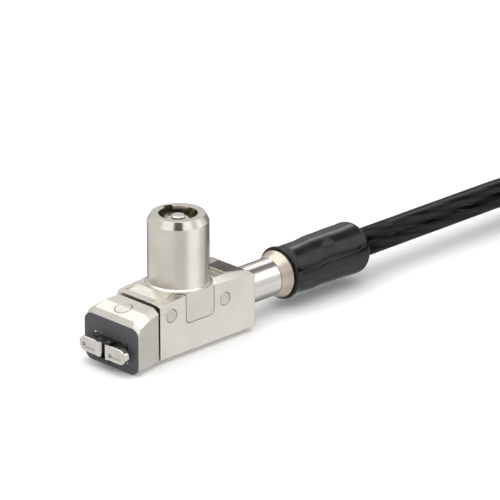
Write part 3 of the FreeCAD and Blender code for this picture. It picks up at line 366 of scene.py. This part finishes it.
# ---- Hooks, window frame, push rod and key core
# Hardened steel, ground and polished before plating, so it mirrors more sharply than the castings. The
# hooks turn on small pins held in the boss, and the core turns in the barrel.
bright_steel = plated_metal("polished_nickel_on_steel", "#dcd9d3", "#cfcbc4", rough=0.15, grain=0.10,
                            edge_mm=0.05)
finish_nodes(bright_steel, "hook_left", "hook_right", "hook_pins", "window_frame", "push_rod",
             "lock_core", "core_hub", "centre_post")

# ---- Cross pins and head rivet
# Steel pins pressed through the castings and ground flush with them, so that their ends are a little
# greyer and rougher than the plating round them.
pin_steel = plated_metal("ground_pin_steel", "#dbd7d0", "#c6c1b8", rough=0.28, grain=0.35, edge_mm=0.05)
finish_nodes(pin_steel, "front_cross_pin", "rear_cross_pin", "head_rivet")

# ---- Stem
# A turned steel pin with an almost mirror finish. A clip in the housing sits in its groove and lets it
# turn, and its other end is held in the crimp ferrule.
turned_steel = plated_metal("turned_stem_steel", "#e2dfda", "#d6d2cc", rough=0.10, grain=0.15,
                            edge_mm=0.06, drawn=(1.5, 0.05, 0.05))
finish_nodes(turned_steel, "anchor_stem")

# ---- Rear cover, spindle, fork, cam tail and clips
# Steel, brushed and coloured much darker than the castings. The cover
#  closes the housing behind the barrel, and the rest is hidden inside.
dark_steel = plated_metal("brushed_dark_steel", "#726a62", "#504a44", rough=0.34, grain=0.9, edge_mm=0.05)
finish_nodes(dark_steel, "rear_cover", "swivel_spindle", "drive_fork", "cam_tail", "stem_clip", "core_clip")

# ---- Springs
# Coils of drawn spring wire: two large ones that lift the carriage, and a small one under each driver
# pin.
spring_wire = plated_metal("drawn_spring_wire", "#a9a8a6", "#8f8e8c", rough=0.25, grain=0.2, edge_mm=0.02)
finish_nodes(spring_wire, "lift_springs", "pin_springs")

# ---- Core sleeve and pins
# Brass, turned on a small lathe, which leaves fine marks round each piece. The pins cross from the core
# to the sleeve and hold the core until the key lines them up.
pin_brass = plated_metal("turned_pin_brass", "#c9a562", "#a98443", rough=0.26, grain=0.3, edge_mm=0.03,
                         drawn=(0.2, 0.2, 2))
finish_nodes(pin_brass, "core_sleeve", "key_pins", "driver_pins")

# ---- Crimp ferrule and loop ferrule
# Metal tube pressed on the cable in a die and brushed, a shade browner than the nickel. One joins the
# cable to the stem, and the other closes the end loop.
crimped_collar = plated_metal("brushed_crimped_collar", "#c9c0b3", "#a89e90", rough=0.30, grain=0.6,
                              edge_mm=0.06, drawn=(0.9, 0.10, 0.10))
finish_nodes(crimped_collar, "crimp_ferrule", "loop_ferrule")

# ---- Face pad, boss and coil tie
# The pad is a charcoal rubber sheet stuck on the head, the boss is black moulded nylon, and the tie is a
# black woven strap round the coil. All three are matt, with a shallow grain.
MOULD_DEPTH_MM = 0.03


def matt_grain(name, base, shade, rough, grain_mm, grain):
    """Matt surface: two close colours in fine speckle and a shallow grain of the same size."""
    material, tree, output = new_material(name)
    place = add(tree, "ShaderNodeTexCoord").outputs["Object"]
    speckle = add(tree, "ShaderNodeTexNoise", {"Scale": 1 / (grain_mm * MM), "Detail": 3.0},
                  {"Vector": place})
    colour = add(tree, "ShaderNodeValToRGB", links={"Fac": speckle.outputs["Fac"]},
                 stops=[(0.35, linear(shade)), (0.65, linear(base))])
    bump = add(tree, "ShaderNodeBump", {"Strength": grain, "Distance": MOULD_DEPTH_MM * MM},
               {"Height": speckle.outputs["Fac"]})
    shader = add(tree, "ShaderNodeBsdfPrincipled", {"Roughness": rough},
                 {"Base Color": colour.outputs["Color"], "Normal": bump.outputs[0]})
    tree.links.new(shader.outputs[0], output.inputs["Surface"])
    return material


pad_rubber = matt_grain("charcoal_rubber_sheet", "#4b4b4e", "#434346", rough=0.62, grain_mm=0.10, grain=0.35)
boss_nylon = matt_grain("black_moulded_nylon", "#151516", "#0e0e0f", rough=0.35, grain_mm=0.15, grain=0.25)
tie_strap = matt_grain("black_woven_strap", "#1c1c1e", "#101011", rough=0.80, grain_mm=0.40, grain=0.80)
finish_nodes(pad_rubber, "face_pad")
finish_nodes(boss_nylon, "slot_boss")
finish_nodes(tie_strap, "coil_tie")

# ---- Cable sleeve
# Heat-shrink tube, glossy black, shrunk over the ferrule and the cable's end: its front edge curls out into
# a lip, its wall keeps shallow dents and lengthwise creases, and its rear end is drawn in round the cable.
SLEEVE_FRONT_X = 20.3
SLEEVE_REAR_X = 36.6
SLEEVE_FRONT = 3.72       # radius behind the lip
SLEEVE_BACK = 4.06        # radius before the rear end draws in
SLEEVE_LIP = 4.08
LIP_LENGTH = 1.05
LIP_ROUND = 0.35
REAR_ROUND = 1.5
LINING_RADIUS = 2.9       # where the front edge turns back inside, and how far it goes
LINING_LENGTH = 1.2
MOUTH_SINK = 0.02         # how deep the rear mouth bites into the cable's coat, and how far it turns inside
MOUTH_LENGTH = 0.1
SLEEVE_RINGS = 150
SLEEVE_SIDES = 256
SWELL = 0.060             # heights of the dents' long waves, short waves and three flutes
RIPPLE = 0.035
FLUTE = 0.030
DENTS_FADE = 1.04         # the dents are gone this much sooner than the sleeve's length
CREASE_ANGLE = 1.36       # radians from the top
CREASE_DRIFT = 0.16
CREASE_WIDTH = 0.045
CREASE_DEPTH = 0.10
DRAW_MARK_MM = 1.11
DRAW_DEPTH_MM = 0.1


def shrunk_sleeve():
    """Surface of revolution about the cable: a wall that widens evenly to the rear, plus a lip that dies
    away as exp(-(distance / lip length) squared), less a quarter circle at each end, and a lining inside.
    Its dents are three waves along and round the wall, and the crease where the tube folded as it shrank is
    a bell-shaped groove that wanders along its side. Both fade out at the ends."""
    length = SLEEVE_REAR_X - SLEEVE_FRONT_X
    t = np.linspace(0, 1, SLEEVE_RINGS)[:, None]
    angle = 2 * math.pi * np.arange(SLEEVE_SIDES)[None, :] / SLEEVE_SIDES
    from_front = t * length
    from_rear = (1 - t) * length
    wall = SLEEVE_FRONT + (SLEEVE_BACK - SLEEVE_FRONT) * t
    lip = (SLEEVE_LIP - SLEEVE_FRONT) * np.exp(-(from_front / LIP_LENGTH) ** 2)
    front_round = LIP_ROUND * (1 - np.sqrt(1 - (1 - np.clip(from_front / LIP_ROUND, 0, 1)) ** 2))
    rear_round = REAR_ROUND * (1 - np.sqrt(1 - (1 - np.clip(from_rear / REAR_ROUND, 0, 1)) ** 2))
    radius = wall + lip - front_round - rear_round
    dents = (SWELL * np.sin(9.0 * t + 2.1 * np.cos(angle) + 0.8)
             + RIPPLE * np.sin(21.0 * t + 3.0 * np.sin(angle))
             + FLUTE * np.cos(3 * angle + 4.0 * t))
    crease_line = CREASE_ANGLE - CREASE_DRIFT * t + 0.05 * np.sin(11.0 * t) + 0.02 * np.sin(27.0 * t)
    crease = CREASE_DEPTH * np.exp(-((angle - crease_line) / CREASE_WIDTH) ** 2)
    fade = np.sin(math.pi * np.clip(DENTS_FADE * t, 0, 1))
    outer = radius + (dents - crease) * fade
    lining = np.full((1, SLEEVE_SIDES), LINING_RADIUS)
    mouth = np.full((1, SLEEVE_SIDES), CABLE_DIAMETER / MM / 2 - MOUTH_SINK)
    rings = np.concatenate([lining, outer, mouth])
    x = np.concatenate([[SLEEVE_FRONT_X + LINING_LENGTH], SLEEVE_FRONT_X + from_front[:, 0],
                        [SLEEVE_REAR_X - MOUTH_LENGTH]])
    grid = np.empty(rings.shape + (3,))
    grid[:, :, 0] = x[:, None]
    grid[:, :, 1] = -rings * np.sin(angle)
    grid[:, :, 2] = CABLE_Z + rings * np.cos(angle)
    return grid_mesh("shrink_sleeve", grid * MM, x * MM, joined=True)


def gloss_shrink_tube():
    """Glossy black polyolefin: near-black, smooth, with fine lengthwise draw marks."""
    material, tree, output = new_material("glossy_heat_shrink")
    place = add(tree, "ShaderNodeTexCoord").outputs["Object"]
    drawn = add(tree, "ShaderNodeMapping", {"Scale": (0.25, 1.0, 1.0)}, {"Vector": place})
    marks = add(tree, "ShaderNodeTexNoise", {"Scale": 1 / (DRAW_MARK_MM * MM), "Detail": 2.0},
                {"Vector": drawn.outputs[0]})
    colour = add(tree, "ShaderNodeValToRGB", links={"Fac": marks.outputs["Fac"]},
                 stops=[(0.3, linear("#030304")), (0.7, linear("#060608"))])
    bump = add(tree, "ShaderNodeBump", {"Strength": 0.12, "Distance": DRAW_DEPTH_MM * MM},
               {"Height": marks.outputs["Fac"]})
    shader = add(tree, "ShaderNodeBsdfPrincipled",
                 {"Roughness": 0.22, "Specular IOR Level": 0.22, "Coat Weight": 0.33, "Coat Roughness": 0.04},
                 {"Base Color": colour.outputs["Color"], "Normal": bump.outputs[0]})
    tree.links.new(shader.outputs[0], output.inputs["Surface"])
    return material


sleeve = shrunk_sleeve()
sleeve.data.materials.append(gloss_shrink_tube())
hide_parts("cable_sleeve")
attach(sleeve, "housing_body")

# ---- Floor
# A plain white table. Glossy rays pass through it, so the bare metal mirrors the light tent and not the
# table.
FLOOR_HALF = 3.0
FLOOR_WHITE = (0.95, 0.95, 0.95, 1.0)
floor_mesh = bpy.data.meshes.new("floor")
floor_mesh.from_pydata([(-FLOOR_HALF, -FLOOR_HALF, 0), (FLOOR_HALF, -FLOOR_HALF, 0),
                        (FLOOR_HALF, FLOOR_HALF, 0), (-FLOOR_HALF, FLOOR_HALF, 0)], [], [(0, 1, 2, 3)])
floor = bpy.data.objects.new("floor", floor_mesh)
scene.collection.objects.link(floor)
floor_material, floor_tree, floor_output = new_material("white_table")
matt_white = add(floor_tree, "ShaderNodeBsdfDiffuse", {"Color": FLOOR_WHITE})
see_through = add(floor_tree, "ShaderNodeBsdfTransparent")
ray = add(floor_tree, "ShaderNodeLightPath")
table = add(floor_tree, "ShaderNodeMixShader",
            links={0: ray.outputs["Is Glossy Ray"], 1: matt_white.outputs[0], 2: see_through.outputs[0]})
floor_tree.links.new(table.outputs[0], floor_output.inputs["Surface"])
floor_mesh.materials.append(floor_material)

# ---- Light tent
# An even white tent with brighter panels and darker gaps, which give the metal its bands, and a large soft
# panel overhead. Each patch has its turn right from the camera, height, half width and soft edge in degrees,
# and the light that it adds or takes away.
TENT_LIGHT = 0.86
TENT_PATCHES = [
    (2, 33, 11, 8, -0.72),         # gap above the camera
    (42, 38, 10, 12, 0.45),        # upper panel on the right
    (-45, 38, 14, 14, 0.40),       # upper panel on the left
    (60, -22, 12, 18, 0.42),       # right panel
    (97, 33, 10, 12, 0.75),        # upper panel far right
    (136, 49, 7, 9, -0.62),        # gap above it
    (170, 38, 5, 4, 2.20),         # bare lamp behind
    (158, -22, 30, 20, -0.56),     # dark gap behind on the right
    (-165, 14, 26, 22, -0.10),     # back panel, slightly in shade
    (-152, -24, 8, 14, -0.30),     # gap behind on the left
    (8, -24, 7, 22, -0.12),        # the camera itself
]
KEY_PLACE = (-0.02, 0.10, 0.66)
KEY_SIZE = 1.00
KEY_POWER = 3.8

world = bpy.data.worlds.new("studio")
scene.world = world
world.use_nodes = True
sky = world.node_tree
sky.nodes.clear()
direction = add(sky, "ShaderNodeTexCoord").outputs["Generated"]
light = add(sky, "ShaderNodeValue").outputs[0]
light.default_value = TENT_LIGHT
for turn, height, half_width, soft_edge, strength in TENT_PATCHES:
    bearing = AZIMUTH + math.radians(turn)
    up = math.radians(height)
    aim = (math.sin(bearing) * math.cos(up), -math.cos(bearing) * math.cos(up), math.sin(up))
    nearness = add(sky, "ShaderNodeVectorMath", {1: aim}, {0: direction}, operation="DOT_PRODUCT")
    patch = add(sky, "ShaderNodeMapRange",
                {"From Min": math.cos(math.radians(half_width + soft_edge)),
                 "From Max": math.cos(math.radians(half_width)), "To Min": 0.0, "To Max": strength},
                {"Value": nearness.outputs["Value"]}, interpolation_type="SMOOTHSTEP")
    light = add(sky, "ShaderNodeMath", links={0: light, 1: patch.outputs[0]}, operation="ADD").outputs[0]
background = add(sky, "ShaderNodeBackground", {"Color": (1, 1, 1, 1)}, {"Strength": light})
add(sky, "ShaderNodeOutputWorld", links={"Surface": background.outputs[0]})

key_data = bpy.data.lights.new("key_panel", "AREA")
key_data.size = KEY_SIZE
key_data.energy = KEY_POWER
key_panel = bpy.data.objects.new("key_panel", key_data)
key_panel.location = KEY_PLACE
key_panel.rotation_euler = (Vector(KEY_PLACE) - TARGET).to_track_quat("Z", "Y").to_euler()
scene.collection.objects.link(key_panel)
scene.view_settings.view_transform = "Standard"
